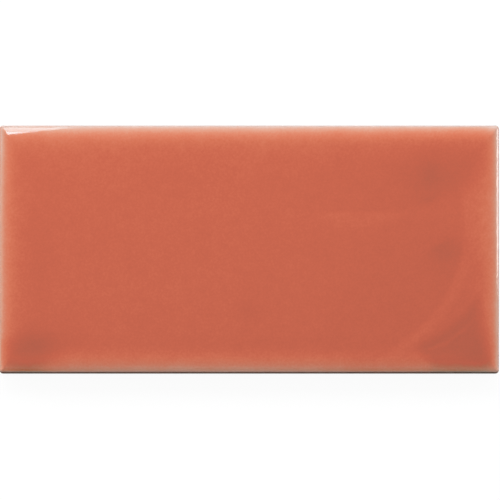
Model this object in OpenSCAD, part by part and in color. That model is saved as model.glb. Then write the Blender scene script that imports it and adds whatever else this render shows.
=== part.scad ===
// Glazed ceramic wall tile: one pressed and fired piece.
// X runs along the long side, Y along the short side, and Z up through the
// thickness. The origin is the middle of the back, so the tile lies on Z = 0
// with its glazed face up.

/* [Tile] */
// Length of the long side
tile_l = 125; // [90:1:200]
// Width of the short side
tile_w = 62; // [45:1:120]
// Thickness from the back to the crown of the face
tile_t = 9; // [7:0.5:14]
// Radius of the four corners in plan
corner_r = 0.8; // [0.5:0.1:3]

/* [Face edge] */
// How far the soft roll-off reaches in from the two long sides
side_rolloff_w = 4; // [2:0.5:8]
// How far the soft roll-off reaches in from the two ends
end_rolloff_w = 3; // [2:0.5:8]
// How far the face drops over the roll-off
rolloff_drop = 0.9; // [0.3:0.1:1.5]
// Radius of the tight rim where the face turns down into the side
rim_r = 0.6; // [0.2:0.1:1]

/* [Side] */
// Height of the upright land above the back
land_h = 4; // [2:0.5:5]
// How far the side leans in above the land
side_lean = 0.15; // [0.1:0.05:0.6]
// Chamfer along the foot of the side
foot_chamfer = 0.5; // [0.2:0.1:1]

/* [Back] */
// Plain border round the keying grooves
back_border = 5; // [3:0.5:10]
// Number of keying grooves, which run along the tile
groove_n = 8; // [4:1:10]
// Width of the rib left between two grooves
rib_w = 2.4; // [1.5:0.1:3.5]
// Depth of a groove
groove_d = 0.6; // [0.3:0.1:1.2]
// How much narrower a groove is at its floor, on each side
groove_draft = 0.3; // [0.1:0.05:0.6]

/* [Hidden] */
$fn = 96;
glaze_colour = "#C9664E";
cut = 1;                                       // how far a cutter runs past the surface
hair = 0.001;                                  // how far an arc stands proud of the face it meets
groove_pitch = (tile_w - 2 * back_border + rib_w) / groove_n;
groove_w = groove_pitch - rib_w;
groove_run = tile_l - 2 * back_border - groove_w;
flank_up = [-side_lean, tile_t - land_h] / norm([side_lean, tile_t - land_h]);
flank_out = [flank_up[1], -flank_up[0]];

function dot(a, b) = a[0] * b[0] + a[1] * b[1];

// The centres of the roll-off arc and the rim arc of the side x = half, whose
// roll-off reaches in by w. The rim arc touches the flank and the roll-off.
function rolloff_r(w) = (pow(w, 2) + pow(rolloff_drop, 2)) / (2 * rolloff_drop);
function roll_centre(half, w) = [half - side_lean - w, tile_t - rolloff_r(w)];
function rim_centre(half, w) =
    let (
        lowest = [half, land_h] - rim_r * flank_out,
        from_roll = lowest - roll_centre(half, w),
        ahead = dot(from_roll, flank_up),
        room = pow(rolloff_r(w) - rim_r, 2) - dot(from_roll, from_roll) + pow(ahead, 2)
    )
    lowest + (sqrt(room) - ahead) * flank_up;

// The section of the tile between two opposite sides, span apart: a chamfered
// foot, an upright land, a leaning flank, a tight rim and a soft roll-off, all
// drawn with true arcs. Its second axis is the tile's height.
module section(span, w) {
    half = span / 2;
    roll = roll_centre(half, w);
    rim = rim_centre(half, w);
    seam_out = (rim - roll) / norm(rim - roll);
    difference() {
        polygon([
            [half - foot_chamfer, 0], [half, foot_chamfer], [half, land_h],
            [half - side_lean, tile_t], [side_lean - half, tile_t],
            [-half, land_h], [-half, foot_chamfer], [foot_chamfer - half, 0]
        ]);
        for (turned = [0, 1]) mirror([turned, 0]) {
            arc_waste(rim, rim_r + 2 * hair, flank_out, seam_out);
            arc_waste(roll, rolloff_r(w) + hair, seam_out + 0.2 * flank_out, [0, 1]);
        }
    }
}

// What is cut away outside an arc, between two ways out from its centre.
module arc_waste(centre, r, first, last) {
    outer = 2 * r + cut;
    difference() {
        polygon([centre, centre + outer * first / norm(first), centre + outer * last / norm(last)]);
        translate(centre) circle(r, $fn = 360);
    }
}

// The pressed block with its rolled-off face and rounded corners, before its
// back is keyed.
module block() {
    x = tile_l / 2 - corner_r;
    y = tile_w / 2 - corner_r;
    difference() {
        intersection() {
            rotate([90, 0, 0])
                linear_extrude(tile_w + 2 * cut, center = true) section(tile_l, end_rolloff_w);
            rotate([90, 0, 90])
                linear_extrude(tile_l + 2 * cut, center = true) section(tile_w, side_rolloff_w);
        }
        for (sx = [-1, 1], sy = [-1, 1])
            translate([0, 0, -cut]) linear_extrude(tile_t + 2 * cut)
                arc_waste([sx * x, sy * y], corner_r + hair, [sx, 0], [0, sy]);
    }
}

// One keying groove with drafted walls and round ends, cut up into the back.
module groove() {
    wide = groove_w / 2;
    narrow = wide - groove_draft;
    rotate([90, 0, 90])
        linear_extrude(groove_run, center = true)
            polygon([[-wide, 0], [wide, 0], [narrow, groove_d], [-narrow, groove_d]]);
    for (end = [-1, 1])
        translate([end * groove_run / 2, 0, 0])
            cylinder(h = groove_d, r1 = wide, r2 = narrow);
}

module tile() {
    color(glaze_colour)
        difference() {
            block();
            for (i = [0 : groove_n - 1])
                translate([0, (i - (groove_n - 1) / 2) * groove_pitch, 0]) groove();
        }
}

tile();
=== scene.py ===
import math
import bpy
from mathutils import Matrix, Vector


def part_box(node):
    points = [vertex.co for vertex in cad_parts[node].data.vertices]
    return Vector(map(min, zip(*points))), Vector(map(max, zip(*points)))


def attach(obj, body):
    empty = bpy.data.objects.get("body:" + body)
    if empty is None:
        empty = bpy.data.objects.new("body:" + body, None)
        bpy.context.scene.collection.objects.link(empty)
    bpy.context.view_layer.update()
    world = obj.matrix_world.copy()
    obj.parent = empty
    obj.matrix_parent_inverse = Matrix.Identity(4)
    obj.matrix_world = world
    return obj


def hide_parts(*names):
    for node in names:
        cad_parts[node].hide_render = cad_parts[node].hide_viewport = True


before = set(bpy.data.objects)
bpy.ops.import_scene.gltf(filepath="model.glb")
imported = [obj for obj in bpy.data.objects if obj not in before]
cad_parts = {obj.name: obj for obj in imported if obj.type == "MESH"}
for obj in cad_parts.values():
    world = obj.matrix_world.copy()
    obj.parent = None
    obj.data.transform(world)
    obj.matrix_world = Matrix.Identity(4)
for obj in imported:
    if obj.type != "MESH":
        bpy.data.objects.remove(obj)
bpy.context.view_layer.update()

from types import SimpleNamespace

import bmesh
import bpy
from mathutils import Vector, noise

mm = 0.001


# ---------------------------------------------------------------------------
# Tile face. One pressed slab of pale clay, dipped face down in a coral glaze.
# The die leaves a soft roll-off round the face, and the hand that finished it
# left low swells, a swept drag mark and hollows in which the glaze pooled.
# ---------------------------------------------------------------------------

low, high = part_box("tile")
half_length = (high.x - low.x) / 2
half_width = (high.y - low.y) / 2
crown = high.z

corner_radius = 0.8 * mm
land_height = 4 * mm
side_lean = 0.15 * mm
side_rolloff = 4 * mm
end_rolloff = 3 * mm
rolloff_drop = 0.9 * mm
rim_radius = 0.6 * mm
mitre_sharpness = 18

lean_angle = math.atan(side_lean / (crown - rolloff_drop - land_height))
up_the_side = Vector((math.sin(lean_angle), math.cos(lean_angle)))
lowest_rim_centre = Vector((rim_radius * math.cos(lean_angle),
                            land_height - rim_radius * math.sin(lean_angle)))


def edge_section(rolloff_width):
    """The section of one edge of the face, measured in from the outline and up from the back.

    The roll-off is an arc level with the crown at its inner end. The rim is a
    tighter arc that touches both the roll-off and the leaning side.
    """
    radius = (rolloff_width ** 2 + rolloff_drop ** 2) / (2 * rolloff_drop)
    centre = Vector((rolloff_width + side_lean, crown - radius))
    to_rim = lowest_rim_centre - centre
    along = to_rim.dot(up_the_side)
    climb = -along + math.sqrt(along ** 2 - to_rim.length_squared + (radius - rim_radius) ** 2)
    rim_centre = lowest_rim_centre + up_the_side * climb
    start = math.atan2(centre.x - rim_centre.x, rim_centre.y - centre.y)
    rim_top = centre + radius * Vector((-math.sin(start), math.cos(start)))
    return SimpleNamespace(reach=rolloff_width, radius=radius, flat_from=centre.x,
                           rim_centre=rim_centre, rim_start=start, rim_top=rim_top)


side_edge = edge_section(side_rolloff)
end_edge = edge_section(end_rolloff)
rim_end_angle = math.pi / 2 - lean_angle


def rolled_off(edge, distance_in):
    """How far the face has dropped at a distance in from one of its sides."""
    short_of_flat = max(edge.flat_from - distance_in, 0)
    return edge.radius - math.sqrt(edge.radius ** 2 - short_of_flat ** 2)


def eased_larger(first, second):
    """The larger of two amounts, eased where one takes over from the other."""
    return (first ** mitre_sharpness + second ** mitre_sharpness) ** (1 / mitre_sharpness)


def smooth_between(value, start, end):
    """Rises smoothly from 0 at start to 1 at end."""
    share = min(max((value - start) / (end - start), 0), 1)
    return share * share * (3 - 2 * share)


def swell(x, y, place, reach, turn=0):
    """A soft oval swelling, 1 at its place and all but gone at twice its reach. Millimetres and degrees."""
    across, up = x - place[0], y - place[1]
    turned = math.radians(turn)
    lengthwise = across * math.cos(turned) + up * math.sin(turned)
    sideways = up * math.cos(turned) - across * math.sin(turned)
    return math.exp(-(lengthwise / reach[0]) ** 2 - (sideways / reach[1]) ** 2)


def left_of(x, y, start, end, softness):
    """Rises from 0 to 1 across the line from start to end, going to its left-hand side. Millimetres."""
    run = Vector(end) - Vector(start)
    aside = (run.x * (y - start[1]) - run.y * (x - start[0])) / run.length
    return smooth_between(aside, -softness, softness)


# The finger swept round one place, at one distance from it, slowed and lifted
# off across a slanted line. The pairs say where a change starts and ends, in
# millimetres or, for the bearings at which it began and slowed, in degrees.
sweep_centre = (19.6, 5.7)
sweep_radius = 34
sweep_height = 0.055
sweep_begins = (-67, -57)
sweep_slows = (-20, -6)
sweep_lift_off = ((58, 19.5), (50, 14), 2.4)
crest_rises = (-0.5, 1.1)
crest_falls = (1.6, 4.1)
crest_lost_at_end = (62, 58)
widened_loss = 0.15


def drag_mark(x, y):
    """The crest that a finger left as it swept round the right-hand end, widening as it slowed."""
    across = math.hypot(x - sweep_centre[0], y - sweep_centre[1]) - sweep_radius
    bearing = math.degrees(math.atan2(y - sweep_centre[1], x - sweep_centre[0]))
    widened = smooth_between(bearing, *sweep_slows)
    crest = smooth_between(across, *crest_rises) * (1 - smooth_between(across, *crest_falls) * (1 - widened))
    crest *= smooth_between(bearing, *sweep_begins) * left_of(x, y, *sweep_lift_off)
    return crest * smooth_between(x, *crest_lost_at_end) * (1 - widened_loss * widened)


# The hollow in the near right-hand corner. An arc bounds it towards the drag
# mark, a slant at its left-hand tip, and a leaning line along the right-hand
# end. A crease crosses it on a slightly bent line. The pairs are as above.
corner_arc_centre = (29.6, 5.5)
corner_arc_radius = (31.2, 33.9)
corner_tip = ((41.5, -24), (46, -29), 1.6)
corner_end = (56.8, 52.3)
corner_end_lean = 0.2
corner_near_side = (-31, -27.5)
corner_far_side = (-5, -11)
corner_depth = 0.115
corner_pool = ((57, -27.5), (5, 3.2))
corner_pool_depth = 0.07
crease_start = (44, -24.93)
crease_slope = 0.04
crease_bend = 0.0454
crease_wander = 0.7
crease_width = 0.45
crease_height = 0.07
crease_begins = (43.5, 46)
crease_ends = (57, 53)


def corner_hollow(x, y):
    """Depth of the flat three-sided hollow outside the drag mark, with a fine crease across it."""
    from_arc_centre = math.hypot(x - corner_arc_centre[0], y - corner_arc_centre[1])
    inside = smooth_between(from_arc_centre, *corner_arc_radius) * left_of(x, y, *corner_tip)
    inside *= smooth_between(y, *corner_near_side) * smooth_between(y, *corner_far_side)
    inside *= smooth_between(x + corner_end_lean * y, *corner_end)
    along = x - crease_start[0]
    bend = crease_start[1] + crease_slope * along + crease_bend * along ** 2
    aside = y - bend + crease_wander * noise.noise(Vector((x / 2.6, 0.4, 6.1)))
    crease = smooth_between(x, *crease_begins) * smooth_between(x, *crease_ends)
    crease *= math.exp(-(aside / crease_width) ** 2)
    pool = swell(x, y, *corner_pool)
    return inside * (corner_depth + corner_pool_depth * pool - crease_height * crease)


# Single shallow hollows in the clay, in which the glaze pools: place, reach,
# turn and depth. Those that end at a ridge also have the ridge's two ends and
# its softness.
hollows = [
    ((-55.3, -26), (6.2, 4.7), 32, 0.175),
    ((-49.5, -24.6), (4.8, 3.2), 25, 0.045),
    ((-52, -3), (3.6, 10), 0, 0.034),
    ((-28, -3), (4.2, 2.6), 20, 0.012),
    ((0, -16), (2.8, 2.4), -20, 0.042),
    ((0, -24.6), (75, 2.8), 0, 0.04),
    ((28, 10), (8.5, 0.8), 0, 0.014),
    ((40, -14), (12, 12), 0, 0.012),
    ((49, -3), (5.5, 6.5), -10, 0.05),
    ((45, 18.1), (2.1, 3.4), -5, 0.055),
    ((44.3, 12), (3.2, 1), 16, 0.05),
    ((51, 20), (8, 7), 0, 0.03),
]
ridged_hollows = [
    ((49.1, 0.2), (3.7, 2.8), 20, 0.065, (52, 3.1), (45, 0.2), 0.8),
    ((46, 18), (9.5, 7), 0, 0.065, (38, 8.6), (56, 15.8), 2),
]

# The face sinks slowly towards the right-hand end and the near side. A low
# lens-shaped rise on the right has one straight side.
right_end_sink = 0.028
right_end_slope = (-8, 36)
near_side_sink = 0.012
near_side_slope = (-8, -24)
lens_height = 0.034
lens_oval = ((27.5, 8.9), (12, 5))
lens_round_edge = (0.3, 0.7)
lens_straight_edge = (9.6, 8.8)


def relief(x, y):
    """Height of the hand-made unevenness over the die's true face. Takes and gives millimetres."""
    height = -right_end_sink * smooth_between(x, *right_end_slope)
    height -= near_side_sink * smooth_between(y, *near_side_slope)
    for place, reach, turn, depth in hollows:
        height -= depth * swell(x, y, place, reach, turn)
    for place, reach, turn, depth, *ridge in ridged_hollows:
        height -= depth * swell(x, y, place, reach, turn) * left_of(x, y, *ridge)
    height += sweep_height * drag_mark(x, y)
    height -= corner_hollow(x, y)
    lens = smooth_between(swell(x, y, *lens_oval), *lens_round_edge) * smooth_between(y, *lens_straight_edge)
    return height + lens_height * lens


# Small even waves left by the press: height, length, width and a depth in the
# noise that keeps the three sets apart.
press_waves = [
    (0.010, 30, 24, 3.1),
    (0.012, 9, 7, 7.7),
    (0.008, 3.2, 2.8, 5.3),
]


def fine_waves(x, y):
    """Height of the small even waves left by the press. Takes and gives millimetres."""
    height = 0
    for size, length, width, layer in press_waves:
        height += size * noise.noise(Vector((x / length, y / width, layer)))
    return height


# The glaze follows the clay only in part. A rise of level_glaze, in
# millimetres, would leave it bare.
level_glaze = 0.33
glaze_follow = 0.65
glaze_follow_fine = 0.06
thinning_reach = 0.76
least_glaze = 0.02


def face_height(x, y):
    """Height of the glazed face above the back. The glaze evens out the clay, small waves most of all."""
    drop = eased_larger(rolled_off(end_edge, half_length - abs(x)),
                        rolled_off(side_edge, half_width - abs(y)))
    uneven = glaze_follow * relief(x / mm, y / mm) + glaze_follow_fine * fine_waves(x / mm, y / mm)
    return crown - drop + uneven * mm


def drawn_back(edge, distance_in):
    """How much of the glaze drew back from one side as it ran off the roll-off."""
    return math.exp(-distance_in / (thinning_reach * edge.reach))


def glaze_depth(x, y):
    """Depth of glaze over the clay: 1 on the level face, less on crests and edges, more in hollows.

    It drew back from the edges most along the far side and the right-hand end,
    and least half way up the left-hand end.
    """
    thinned = eased_larger(drawn_back(end_edge, half_length - abs(x)),
                           drawn_back(side_edge, half_width - abs(y)))
    toward_far_side = y / half_width
    toward_right_end = smooth_between(x, half_length - 6 * mm, half_length)
    thinned *= 0.9 + 0.14 * toward_far_side ** 2 + 0.06 * toward_far_side
    thinned *= 1 + 0.24 * toward_right_end
    thinned *= 1 + 0.07 * noise.noise(Vector((x / mm / 16, y / mm / 16, 2.4)))
    clay_height = relief(x / mm, y / mm) + fine_waves(x / mm, y / mm)
    return max(1 - clay_height / level_glaze - thinned, least_glaze)


# Painted shade along the near side, which faces away from the lamps: the glaze
# there loses red, most where the face is hollow. The first pair gives the hollow
# depths over which the shade comes in, and the second the span of the near side
# over which it grows. The face beyond the last value takes the shade of the face
# there. Millimetres.
shade_hollow_depths = (0.05, 0.2)
shade_reach = (-25, -28.5)
shade_sample_edge = -28


def near_side_shade(x, y):
    """How much painted shade takes red out of the glaze along the near side, most where the face is hollow.
    """
    gathered = smooth_between(-relief(x / mm, max(y / mm, shade_sample_edge)), *shade_hollow_depths)
    return gathered * smooth_between(y / mm, *shade_reach)


field_cell = 0.45 * mm
band_width = 5 * mm
band_cells = 30
band_growth = 1.3


def grid_station(share, half_span, cells):
    """Where a grid line goes: fine cells over the roll-off, growing to an even spacing over the field."""
    index = round((share + 1) / 2 * cells)
    side = 1 if index > cells / 2 else -1
    from_end = min(index, cells - index)
    if from_end < band_cells:
        return side * (half_span - band_width * (from_end / band_cells) ** band_growth)
    return (half_span - band_width) * (2 * (index - band_cells) / (cells - 2 * band_cells) - 1)


face_half_length = half_length - end_edge.rim_top.x
face_half_width = half_width - side_edge.rim_top.x
corner_reach = Vector((corner_radius - end_edge.rim_top.x, corner_radius - side_edge.rim_top.x))
well_above_line = crown - land_height
columns = 2 * band_cells + round(2 * (face_half_length - band_width) / field_cell)
rows = 2 * band_cells + round(2 * (face_half_width - band_width) / field_cell)

tile_mesh = bmesh.new()
depth_layer = tile_mesh.verts.layers.float.new("glaze_depth")
line_layer = tile_mesh.verts.layers.float.new("above_glaze_line")
# The last layer carries painted shade along the near side.
shade_layer = tile_mesh.verts.layers.float.new("painted_near_shade")
bmesh.ops.create_grid(tile_mesh, x_segments=columns, y_segments=rows, size=1.0)
for vertex in tile_mesh.verts:
    x = grid_station(vertex.co.x, face_half_length, columns)
    y = grid_station(vertex.co.y, face_half_width, rows)
    past_x = (abs(x) - face_half_length) / corner_reach.x + 1
    past_y = (abs(y) - face_half_width) / corner_reach.y + 1
    if past_x > 0 and past_y > 0:
        round_x = past_x * math.sqrt(1 - past_y ** 2 / 2) - 1
        round_y = past_y * math.sqrt(1 - past_x ** 2 / 2) - 1
        x = math.copysign(face_half_length + corner_reach.x * round_x, x)
        y = math.copysign(face_half_width + corner_reach.y * round_y, y)
    vertex.co = (x, y, face_height(x, y))
    vertex[depth_layer] = glaze_depth(x, y)
    vertex[line_layer] = well_above_line
    vertex[shade_layer] = near_side_shade(x, y)
too_high = max(vertex.co.z for vertex in tile_mesh.verts) - crown
for vertex in tile_mesh.verts:
    vertex.co.z -= too_high


# ---------------------------------------------------------------------------
# Tile rim, side and foot. The face turns down over a tight rim into a side
# that leans out to an upright land. The glaze ran thin over the rim and
# stopped in an uneven beaded line, and below it the fired clay is bare.
# ---------------------------------------------------------------------------

rim_steps = 6
side_step = 0.25 * mm
land_rings = (3.0 * mm, 2.0 * mm, 1.2 * mm)
foot_chamfer = 0.5 * mm
chamfer_steps = 3

bead_size = 0.07 * mm
bead_rise = 0.35 * mm
bead_level_to = 1 * mm
bead_gone_at = 4 * mm
glaze_line_height = 5.4 * mm
glaze_line_wander = 0.9 * mm
drip_length = 3.2 * mm
drip_from = 0.25
side_glaze_gain = 0.6
side_glaze_run = 3.5 * mm


def outline_foot(x, y):
    """The nearest place on the outline of the land, and the way straight out from there."""
    centre = Vector((math.copysign(half_length - corner_radius, x),
                     math.copysign(half_width - corner_radius, y)))
    past = Vector((abs(x) - abs(centre.x), abs(y) - abs(centre.y)))
    if past.x > 0 and past.y > 0:
        outward = Vector((math.copysign(past.x, x), math.copysign(past.y, y))).normalized()
        return centre + outward * corner_radius, outward
    if past.x > past.y:
        return Vector((math.copysign(half_length, x), y)), Vector((math.copysign(1, x), 0))
    return Vector((x, math.copysign(half_width, y))), Vector((0, math.copysign(1, y)))


def glaze_line(x, y):
    """Height at which the glaze stopped on the side, with a drip here and there."""
    wander = noise.noise(Vector((x / mm / 9, y / mm / 9, 1.5)))
    drips = max(noise.noise(Vector((x / mm / 3, y / mm / 3, 8.2))) - drip_from, 0)
    return glaze_line_height + glaze_line_wander * wander - drip_length * drips


def rim_glaze(outward):
    """Depth of glaze on the rim. It drained thinnest off the long side that stood uppermost."""
    return 0.22 - 0.05 * outward.x - 0.16 * abs(outward.y) - 0.04 * outward.y


def extruded(shape, edges):
    """Extrudes edges of a shape, and gives the new vertices and the new edges."""
    grown = bmesh.ops.extrude_edge_only(shape, edges=edges)["geom"]
    new_vertices = [item for item in grown if isinstance(item, bmesh.types.BMVert)]
    new_edges = [item for item in grown if isinstance(item, bmesh.types.BMEdge)]
    return new_vertices, new_edges


def next_ring(edges, side_place, end_place, carried=0.0):
    """Draws the outline on to a new ring.

    The places give how far in from the outline the ring lies, and how high, on
    the long sides and on the ends. carried is how much of the face's unevenness
    the ring keeps.
    """
    ring_vertices, ring_edges = extruded(tile_mesh, edges)
    for vertex in ring_vertices:
        foot, outward = outline_foot(vertex.co.x, vertex.co.y)
        place = side_place.lerp(end_place, outward.x ** 2)
        rim_top = side_edge.rim_top.lerp(end_edge.rim_top, outward.x ** 2)
        face_edge = foot - outward * rim_top.x
        height = place.y + (face_height(face_edge.x, face_edge.y) - too_high - rim_top.y) * carried
        over_line = height - glaze_line(foot.x, foot.y)
        bead = bead_size * smooth_between(over_line, 0, bead_rise)
        bead *= smooth_between(over_line, bead_gone_at, bead_level_to)
        out = foot - outward * max(place.x - bead, 0)
        vertex.co = (out.x, out.y, height)
        vertex[line_layer] = over_line
        # Painted shade along the near side, the same as on the face beside the rim.
        vertex[shade_layer] = near_side_shade(face_edge.x, face_edge.y)
        gathered = side_glaze_gain * smooth_between(rim_top.y - place.y, 0, side_glaze_run)
        vertex[depth_layer] = rim_glaze(outward) + gathered
    return ring_edges


def rim_place(edge, share):
    """A place on the rim arc, from its start on the roll-off at 0 to the side at 1."""
    angle = edge.rim_start + (rim_end_angle - edge.rim_start) * share
    return edge.rim_centre + rim_radius * Vector((-math.sin(angle), math.cos(angle)))


ring = [edge for edge in tile_mesh.edges if edge.is_boundary]
for step in range(1, rim_steps + 1):
    share = step / rim_steps
    ring = next_ring(ring, rim_place(side_edge, share), rim_place(end_edge, share), carried=1.0)
land_top = Vector((0, land_height))
side_steps = round((rim_place(side_edge, 1).y - land_height) / side_step)
for step in range(1, side_steps + 1):
    left = 1 - step / side_steps
    ring = next_ring(ring, land_top.lerp(rim_place(side_edge, 1), left),
                     land_top.lerp(rim_place(end_edge, 1), left), carried=left)
for height in land_rings + (foot_chamfer,):
    ring = next_ring(ring, Vector((0, height)), Vector((0, height)))
for step in range(1, chamfer_steps + 1):
    share = step / chamfer_steps
    place = Vector((foot_chamfer * share, foot_chamfer * (1 - share)))
    ring = next_ring(ring, place, place)


# ---------------------------------------------------------------------------
# Tile back. Bare clay as it left the press: a flat border with eight long
# keying grooves that the adhesive grips, each with drafted walls, round ends
# and slightly worn lips.
# ---------------------------------------------------------------------------

back_border = 5 * mm
groove_count = 8
rib_width = 2.4 * mm
groove_depth = 0.6 * mm
groove_draft = 0.3 * mm
groove_lip = 0.08 * mm
groove_end_steps = 12
# Each groove's wall, from the back down: how far in and how deep each part
# goes. The worn lip has two parts, then come the drafted wall and its foot.
groove_section = [
    (groove_lip, groove_lip * 0.3),
    (groove_lip * 0.5, groove_lip),
    (groove_draft, groove_depth - groove_lip * 1.8),
    (groove_lip, groove_lip * 0.5),
]

groove_pitch = (2 * (half_width - back_border) + rib_width) / groove_count
groove_width = groove_pitch - rib_width
groove_half_run = half_length - back_border
for index in range(groove_count):
    across = (index - (groove_count - 1) / 2) * groove_pitch
    outline = []
    for side in (1, -1):
        end = Vector((side * (groove_half_run - groove_width / 2), across, 0))
        start = tile_mesh.verts.new(end + Vector((0, -side * groove_width / 2, 0)))
        round_end = bmesh.ops.spin(tile_mesh, geom=[start], cent=end, axis=(0, 0, 1), angle=math.pi,
                                   steps=groove_end_steps)
        outline += [start, round_end["geom_last"][0]]
    tile_mesh.edges.new((outline[1], outline[2]))
    tile_mesh.edges.new((outline[3], outline[0]))
    loop = set()
    waiting = [outline[0]]
    while waiting:
        for edge in waiting.pop().link_edges:
            if edge not in loop:
                loop.add(edge)
                waiting += edge.verts
    groove_floor = bmesh.ops.contextual_create(tile_mesh, geom=list(loop))["faces"][0]
    groove_floor.normal_update()
    if groove_floor.normal.z > 0:
        groove_floor.normal_flip()
    for width, depth in groove_section:
        bmesh.ops.inset_region(tile_mesh, faces=[groove_floor], thickness=width, depth=-depth,
                               use_even_offset=True, use_boundary=True)
open_edges = [edge for edge in tile_mesh.edges if edge.is_boundary]
bmesh.ops.triangle_fill(tile_mesh, edges=open_edges, use_beauty=True)
bmesh.ops.remove_doubles(tile_mesh, verts=tile_mesh.verts, dist=0.001 * mm)
bmesh.ops.recalc_face_normals(tile_mesh, faces=tile_mesh.faces)


def finished_piece(name, shape):
    """Makes an object of a finished shape and puts it in the scene."""
    data = bpy.data.meshes.new(name)
    shape.to_mesh(data)
    shape.free()
    piece = bpy.data.objects.new(name, data)
    bpy.context.scene.collection.objects.link(piece)
    return piece


# Faces well below the glaze line are bare clay, and the rest carry the glaze.
glaze_slot = 0
clay_slot = 1
ragged_reach = 0.6 * mm
sharp_angle = 28
for vertex in tile_mesh.verts:
    if vertex.co.z < foot_chamfer * 2:
        vertex[line_layer] = -land_height
for face in tile_mesh.faces:
    face.smooth = True
    highest = max(vertex[line_layer] for vertex in face.verts)
    face.material_index = clay_slot if highest < -ragged_reach else glaze_slot

tile = finished_piece("glazed_tile", tile_mesh)
tile.data.set_sharp_from_angle(angle=math.radians(sharp_angle))
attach(tile, "root")
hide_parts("tile")


# ---------------------------------------------------------------------------
# Fired clay. The pale body of the tile: a fine sandy grain, soft uneven
# firing colour and dark grains of grog and iron. It shows bare on the back,
# foot and land, and in the ragged margin under the glaze line.
# ---------------------------------------------------------------------------

def add_node(tree, kind, inputs=None, **settings):
    """Adds a node with its settings, and fills its inputs with values or links."""
    made = tree.nodes.new(kind)
    for name, value in settings.items():
        setattr(made, name, value)
    for socket, value in (inputs or {}).items():
        if isinstance(value, bpy.types.NodeSocket):
            tree.links.new(value, made.inputs[socket])
        else:
            made.inputs[socket].default_value = value
    return made


def new_material(name):
    """Makes a material, and gives it with its node tree and its shader."""
    material = bpy.data.materials.new(name)
    material.use_nodes = True
    return material, material.node_tree, material.node_tree.nodes["Principled BSDF"]


def number(tree, operation, *values):
    """A sum, product or other operation on numbers or links."""
    return add_node(tree, "ShaderNodeMath", dict(enumerate(values)), operation=operation).outputs[0]


def fade(tree, value, start, end, out_start=0.0, out_end=1.0):
    """Turns a value that runs from start to end into one that runs smoothly from out_start to out_end."""
    inputs = {"Value": value, "From Min": start, "From Max": end, "To Min": out_start, "To Max": out_end}
    return add_node(tree, "ShaderNodeMapRange", inputs, interpolation_type="SMOOTHSTEP").outputs["Result"]


def blend_colour(tree, factor, below, above, way="MIX"):
    """Mixes two colours or links, from below at factor 0 to above at factor 1."""
    made = add_node(tree, "ShaderNodeMix", data_type="RGBA", blend_type=way)
    sockets = {0: factor, 6: below, 7: above}
    for place, value in sockets.items():
        if isinstance(value, bpy.types.NodeSocket):
            tree.links.new(value, made.inputs[place])
        elif place == 0:
            made.inputs[place].default_value = value
        else:
            made.inputs[place].default_value = (*value, 1)
    return made.outputs[2]


def noise_node(tree, place, grain, detail=2.0, roughness=0.5):
    """Cloudy noise whose patches are about as wide as grain."""
    inputs = {"Vector": place, "Scale": 1 / grain, "Detail": detail, "Roughness": roughness}
    return add_node(tree, "ShaderNodeTexNoise", inputs).outputs["Fac"]


warm_clay = (0.70, 0.60, 0.50)
pale_clay = (0.76, 0.70, 0.62)
clouded_clay = (0.62, 0.52, 0.42)
dark_sand = (0.50, 0.42, 0.35)
iron_grog = (0.30, 0.19, 0.12)
soiled_clay = (0.40, 0.33, 0.27)
firing_patch = 14 * mm
cloud_size = 2.6 * mm
sand_size = 0.35 * mm
grog_spacing = 1.7 * mm
smear_size = 7 * mm
pit_size = 0.8 * mm

clay_group = bpy.data.node_groups.new("fired_clay", "ShaderNodeTree")
clay_group.interface.new_socket("Place", in_out="INPUT", socket_type="NodeSocketVector")
clay_group.interface.new_socket("Soiling", in_out="INPUT", socket_type="NodeSocketFloat")
clay_group.interface.new_socket("Colour", in_out="OUTPUT", socket_type="NodeSocketColor")
clay_group.interface.new_socket("Height", in_out="OUTPUT", socket_type="NodeSocketFloat")
tree = clay_group
given = add_node(tree, "NodeGroupInput")
place = given.outputs["Place"]
firing = noise_node(tree, place, firing_patch, 3.0)
cloud = noise_node(tree, place, cloud_size, 4.0, 0.6)
sand = noise_node(tree, place, sand_size, 3.0, 0.7)
colour = blend_colour(tree, fade(tree, firing, 0.35, 0.65), warm_clay, pale_clay)
colour = blend_colour(tree, fade(tree, cloud, 0.35, 0.7, 0.0, 0.35), colour, clouded_clay)
colour = blend_colour(tree, fade(tree, sand, 0.3, 0.75, 0.0, 0.3), colour, dark_sand)
cells = add_node(tree, "ShaderNodeTexVoronoi", {"Vector": place, "Scale": 1 / grog_spacing})
chosen = add_node(tree, "ShaderNodeSeparateColor", {"Color": cells.outputs["Color"]})
grog = number(tree, "MULTIPLY", fade(tree, cells.outputs["Distance"], 0.2, 0.1),
              fade(tree, chosen.outputs["Red"], 0.70, 0.74))
colour = blend_colour(tree, number(tree, "MULTIPLY", grog, 0.65), colour, iron_grog)
smear = number(tree, "MULTIPLY", fade(tree, noise_node(tree, place, smear_size, 5.0, 0.65), 0.5, 0.68),
               given.outputs["Soiling"])
colour = blend_colour(tree, smear, colour, soiled_clay)
pits = fade(tree, noise_node(tree, place, pit_size, 2.0), 0.62, 0.72)
raised = number(tree, "SUBTRACT", number(tree, "MULTIPLY", sand, 0.6), pits)
raised = number(tree, "ADD", raised, number(tree, "MULTIPLY", cloud, 0.8))
add_node(tree, "NodeGroupOutput", {"Colour": colour, "Height": raised})

# Bare clay of the land, foot and back. The grooves hold dust from the press,
# and the flat ribs and border carry a chalky bloom from the kiln shelf.
soiling = 0.25
clay_grain = 0.05 * mm
chalky_bloom = (0.83, 0.80, 0.75)
press_dust = (0.56, 0.45, 0.35)

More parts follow.
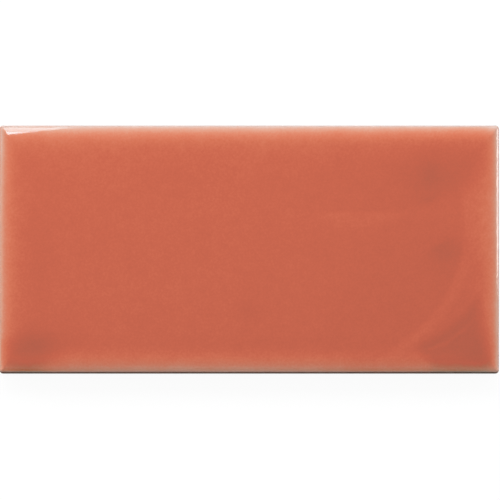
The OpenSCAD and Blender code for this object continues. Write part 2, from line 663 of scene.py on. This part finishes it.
bare_clay, tree, shader = new_material("bare_clay")
place = add_node(tree, "ShaderNodeTexCoord").outputs["Object"]
clay = add_node(tree, "ShaderNodeGroup", {"Place": place, "Soiling": soiling}, node_tree=clay_group)
height = add_node(tree, "ShaderNodeSeparateXYZ", {0: place}).outputs["Z"]
on_the_back = fade(tree, height, 0.05 * mm, 0.01 * mm)
deep_enough = fade(tree, height, groove_depth / 2, groove_depth - 0.05 * mm)
no_higher = fade(tree, height, groove_depth + 0.2 * mm, groove_depth + 0.05 * mm)
in_a_groove = number(tree, "MULTIPLY", deep_enough, no_higher)
bloom = fade(tree, noise_node(tree, place, 5 * mm, 6.0, 0.7), 0.42, 0.62, 0.0, 0.75)
chalk = number(tree, "MULTIPLY", bloom, on_the_back)
colour = blend_colour(tree, chalk, clay.outputs["Colour"], chalky_bloom)
dust = fade(tree, noise_node(tree, place, 3 * mm, 4.0, 0.6), 0.3, 0.7, 0.15, 0.6)
colour = blend_colour(tree, number(tree, "MULTIPLY", dust, in_a_groove), colour, press_dust)
tree.links.new(colour, shader.inputs["Base Color"])
tree.links.new(fade(tree, bloom, 0.0, 0.75, 0.82, 0.95), shader.inputs["Roughness"])
grain = add_node(tree, "ShaderNodeBump", {"Height": clay.outputs["Height"], "Distance": clay_grain,
                                          "Strength": 1.0})
tree.links.new(grain.outputs[0], shader.inputs["Normal"])


# ---------------------------------------------------------------------------
# Glaze. A coral glaze, glossy and half opaque: pale where it breaks over the
# rim, even on the face, and deep and brownish where it pooled, with painted
# shade along the near side. It ends on the side in a ragged line, with the
# clay showing below.
# ---------------------------------------------------------------------------

def ramp(tree, factor, stops):
    """Adds a colour ramp with the given stops, each a place and a colour."""
    made = add_node(tree, "ShaderNodeValToRGB", {"Fac": factor})
    elements = made.color_ramp.elements
    while len(elements) < len(stops):
        elements.new(0.5)
    for element, (stop, colour) in zip(elements, stops):
        element.position = stop
        element.color = (*colour, 1)
    return made.outputs["Color"]


# Colour of the glaze against its depth. The level face takes the stop at
# level_stop, thin glaze the stops before it and pools the stops after it.
level_stop = 0.5
glaze_stops = [
    (0.0, (0.70, 0.51, 0.45)),
    (0.075, (0.68, 0.38, 0.29)),
    (0.15, (0.680, 0.30, 0.198)),
    (0.225, (0.675, 0.22, 0.123)),
    (0.30, (0.663, 0.168, 0.082)),
    (0.375, (0.638, 0.136, 0.058)),
    (0.45, (0.597, 0.1095, 0.0455)),
    (level_stop, (0.572, 0.0975, 0.0395)),
    (0.60, (0.53, 0.088, 0.035)),
    (0.80, (0.445, 0.081, 0.034)),
]
# Painted shade: along the near side the glaze colour is multiplied by this tint, which takes out red.
near_shade_tint = (0.78, 0.98, 1)
flashed_clay = (0.50, 0.27, 0.16)
flash_reach = 0.5 * mm
ragged_margin = 0.12 * mm
gloss_ends_at = 7.9 * mm
satin_below = 7.5 * mm

glaze, tree, shader = new_material("coral_glaze")
place = add_node(tree, "ShaderNodeTexCoord").outputs["Object"]
depth = add_node(tree, "ShaderNodeAttribute", attribute_name="glaze_depth").outputs["Fac"]
line = add_node(tree, "ShaderNodeAttribute", attribute_name="above_glaze_line").outputs["Fac"]

flow = noise_node(tree, place, 2.4 * mm, 3.0, 0.6)
flecks = noise_node(tree, place, 0.55 * mm, 2.0, 0.6)
mottle = number(tree, "ADD", fade(tree, flow, 0.2, 0.8, -0.05, 0.05),
                fade(tree, flecks, 0.2, 0.8, -0.09, 0.09))
mottle = number(tree, "MULTIPLY", mottle, fade(tree, depth, 0.3, 1.0, 0.4, 1.0))
depth = number(tree, "ADD", depth, mottle)
rags = fade(tree, noise_node(tree, place, 0.6 * mm, 3.0), 0.25, 0.75, -ragged_margin, ragged_margin)
ragged = number(tree, "ADD", line, rags)
covered = fade(tree, ragged, 0.0, ragged_margin)

glaze_colour = ramp(tree, number(tree, "MULTIPLY", depth, level_stop), glaze_stops)
# Painted shade along the near side, less where the glaze lies deep.
painted_shade = add_node(tree, "ShaderNodeAttribute", attribute_name="painted_near_shade").outputs["Fac"]
painted_shade = number(tree, "MULTIPLY", painted_shade, fade(tree, depth, 1.15, 0.7))
glaze_colour = blend_colour(tree, painted_shade, glaze_colour, near_shade_tint, way="MULTIPLY")
clay = add_node(tree, "ShaderNodeGroup", {"Place": place, "Soiling": soiling}, node_tree=clay_group)
flash = fade(tree, ragged, -flash_reach, 0.0, 0.0, 0.45)
flashed = blend_colour(tree, flash, clay.outputs["Colour"], flashed_clay)
tree.links.new(blend_colour(tree, covered, flashed, glaze_colour), shader.inputs["Base Color"])

# The face is glossy, the glaze below the rim is satin, and bare clay is dull.
glossy = fade(tree, flow, 0.3, 0.75, 0.02, 0.035)
height = add_node(tree, "ShaderNodeSeparateXYZ", {0: place}).outputs["Z"]
satin = fade(tree, height, gloss_ends_at, satin_below, 0.0, 0.6)
bare = number(tree, "SUBTRACT", 1.0, covered)
dull = number(tree, "MULTIPLY", bare, 0.85)
roughness = number(tree, "MAXIMUM", number(tree, "MAXIMUM", glossy, satin), dull)
tree.links.new(roughness, shader.inputs["Roughness"])

ripple = noise_node(tree, place, 2.2 * mm, 1.0)
ripple = add_node(tree, "ShaderNodeBump", {"Height": ripple, "Distance": 0.0005 * mm, "Strength": 1.0})
grain_height = number(tree, "MULTIPLY", clay.outputs["Height"], bare)
grain = add_node(tree, "ShaderNodeBump", {"Height": grain_height, "Distance": clay_grain, "Strength": 1.0,
                                          "Normal": ripple.outputs[0]})
tree.links.new(grain.outputs[0], shader.inputs["Normal"])
tile.data.materials.append(glaze)
tile.data.materials.append(bare_clay)


# ---------------------------------------------------------------------------
# Studio floor. A wide sheet of plain white paper. It is cut away just inside
# the tile's outline, and seen from beneath it lets light through, so that the
# back of the tile can be looked at from below.
# ---------------------------------------------------------------------------

floor_reach = 20.0
cutout_margin = 0.3 * mm
paper_grey = (0.1, 0.1, 0.1, 1)
paper_glow = 0.94

floor_mesh = bmesh.new()
bmesh.ops.create_grid(floor_mesh, x_segments=1, y_segments=1, size=1.0)
cutout = Vector((half_length - cutout_margin, half_width - cutout_margin, 1))
bmesh.ops.scale(floor_mesh, vec=cutout, verts=floor_mesh.verts)
middle_face = floor_mesh.faces[:]
for vertex in extruded(floor_mesh, floor_mesh.edges)[0]:
    vertex.co = (math.copysign(floor_reach, vertex.co.x), math.copysign(floor_reach, vertex.co.y), 0)
bmesh.ops.delete(floor_mesh, geom=middle_face, context="FACES_ONLY")
for face in floor_mesh.faces:
    face.normal_update()
    if face.normal.z < 0:
        face.normal_flip()
floor = finished_piece("floor", floor_mesh)


def seen_directly(tree):
    """1 for what the camera sees by itself, by reflection or through glass, and 0 for scattered light."""
    rays = add_node(tree, "ShaderNodeLightPath").outputs
    seen = number(tree, "MAXIMUM", rays["Is Camera Ray"], rays["Is Glossy Ray"])
    return number(tree, "MAXIMUM", seen, rays["Is Transmission Ray"])


paper = new_material("white_paper")[0]
tree = paper.node_tree
tree.nodes.clear()
matte = add_node(tree, "ShaderNodeBsdfDiffuse", {"Color": paper_grey})
glow = add_node(tree, "ShaderNodeEmission", {"Strength": paper_glow})
nothing = add_node(tree, "ShaderNodeEmission", {"Strength": 0.0})
lift = add_node(tree, "ShaderNodeMixShader", {0: seen_directly(tree), 1: nothing.outputs[0],
                                              2: glow.outputs[0]})
upper = add_node(tree, "ShaderNodeAddShader", {0: matte.outputs[0], 1: lift.outputs[0]})
beneath = add_node(tree, "ShaderNodeNewGeometry").outputs["Backfacing"]
through = add_node(tree, "ShaderNodeBsdfTransparent")
sheet = add_node(tree, "ShaderNodeMixShader", {0: beneath, 1: upper.outputs[0], 2: through.outputs[0]})
add_node(tree, "ShaderNodeOutputMaterial", {"Surface": sheet.outputs[0]})
floor.data.materials.append(paper)


# ---------------------------------------------------------------------------
# Studio light. A large softbox above the far side, a tall narrow window that
# the far roll-off mirrors, a fill at each end, a narrow strip low on the right,
# a dark card at the near side, and one lamp beneath for the back of the tile.
# ---------------------------------------------------------------------------

white = (1, 1, 1, 1)
air_light = 0.1

world = bpy.data.worlds.new("studio_air")
bpy.context.scene.world = world
world.use_nodes = True
tree = world.node_tree
tree.nodes.clear()
dim = add_node(tree, "ShaderNodeBackground", {"Color": white, "Strength": air_light})
bright = add_node(tree, "ShaderNodeBackground", {"Color": white, "Strength": 1.0})
mixed = add_node(tree, "ShaderNodeMixShader", {0: seen_directly(tree), 1: dim.outputs[0],
                                               2: bright.outputs[0]})
add_node(tree, "ShaderNodeOutputWorld", {"Surface": mixed.outputs[0]})


def softbox(name, place, aim, width, height, strength, roll=0.0, slide=0.0, mirrored=True, tint=(1, 1, 1)):
    """A rectangular lamp that points from its place to aim, rolled and slid in its own plane."""
    lamp = bpy.data.lights.new(name, "AREA")
    lamp.shape = "RECTANGLE"
    lamp.size = width
    lamp.size_y = height
    lamp.energy = strength * math.pi * width * height
    lamp.color = tint
    box = bpy.data.objects.new(name, lamp)
    bpy.context.scene.collection.objects.link(box)
    facing = (Vector(aim) - Vector(place)).to_track_quat("-Z", "Y")
    box.rotation_euler = facing.to_euler()
    box.rotation_euler.rotate_axis("Z", math.radians(roll))
    box.location = Vector(place) + box.rotation_euler.to_matrix() @ Vector((0, slide, 0))
    box.visible_glossy = mirrored


window = (-0.0736, 0.4255, 0.5859)
window_aim = (-0.0736, 0.029, 0.009)
window_roll = -4
window_width = 0.0198
daylight = (0.4, 0.87, 1)
# The window's two panes: name, height, slide up the window and strength.
panes = [
    ("window_above", 0.133, 0.0885, 15.5),
    ("window_below", 0.177, -0.0665, 8.6),
]
for name, height, slide, strength in panes:
    softbox(name, window, window_aim, window_width, height, strength,
            roll=window_roll, slide=slide, tint=daylight)
softbox("main_softbox", (-0.05, 0.5, 0.55), (0, 0.02, 0.009), 0.8, 0.4, 3.9, mirrored=False)
softbox("left_fill", (-0.7, 0.16, 0.38), (-0.06, 0, 0.009), 1.0, 0.3, 4.85, mirrored=False)
softbox("right_fill", (0.7, 0.16, 0.38), (0.06, 0, 0.009), 1.0, 0.3, 3.06, mirrored=False)
softbox("edge_strip", (0.7, 0.035, 0.2175), (0.06, 0.035, 0.2175), 0.049, 0.395, 11.5)
softbox("under_softbox", (-0.5, 0.4, -0.8), (0, 0, 0), 0.8, 0.8, 6)

# The card lies on the floor from the tile's near side outwards, and stands up
# at its outer end.
card_reach = 0.14
card_start = -half_width - 0.1 * mm
card_end = -0.35
card_height = 0.44
card_lift = 0.02 * mm
card_black = (0.01, 0.01, 0.01, 1)

card_mesh = bmesh.new()
bmesh.ops.create_grid(card_mesh, x_segments=1, y_segments=1, size=1.0)
for vertex in card_mesh.verts:
    vertex.co = (vertex.co.x * card_reach, card_start if vertex.co.y > 0 else card_end, card_lift)
halfway = (card_start + card_end) / 2
outer_edge = [edge for edge in card_mesh.edges if max(vertex.co.y for vertex in edge.verts) < halfway]
bmesh.ops.translate(card_mesh, vec=(0, 0, card_height), verts=extruded(card_mesh, outer_edge)[0])
card = finished_piece("dark_card", card_mesh)
card.visible_camera = False
card.visible_shadow = False
black, tree, shader = new_material("black_paper")
shader.inputs["Base Color"].default_value = card_black
shader.inputs["Roughness"].default_value = 0.9
card.data.materials.append(black)


# ---------------------------------------------------------------------------
# Camera. Far above the tile and almost straight down on it, leaning just
# enough to show the near side as a thin line. The tile's length spans the
# whole picture.
# ---------------------------------------------------------------------------

camera_height = 3.5
camera_aside = 0.2 * mm
camera_lean = 0.1
middle_y = 0.01 * mm
side_margin = 0.08 * mm

lens = bpy.data.cameras.new("camera")
camera = bpy.data.objects.new("camera", lens)
bpy.context.scene.collection.objects.link(camera)
bpy.context.scene.camera = camera
frame_width = 2 * (half_length + side_margin)
lens.sensor_width = 36
lens.lens = lens.sensor_width * (camera_height - land_height) / frame_width
lens.clip_start = 0.05
lens.clip_end = 60
camera.location = (camera_aside, middle_y - camera_lean, camera_height)
camera.rotation_euler.x = math.atan(camera_lean / camera_height)

bpy.context.scene.view_settings.view_transform = "Standard"
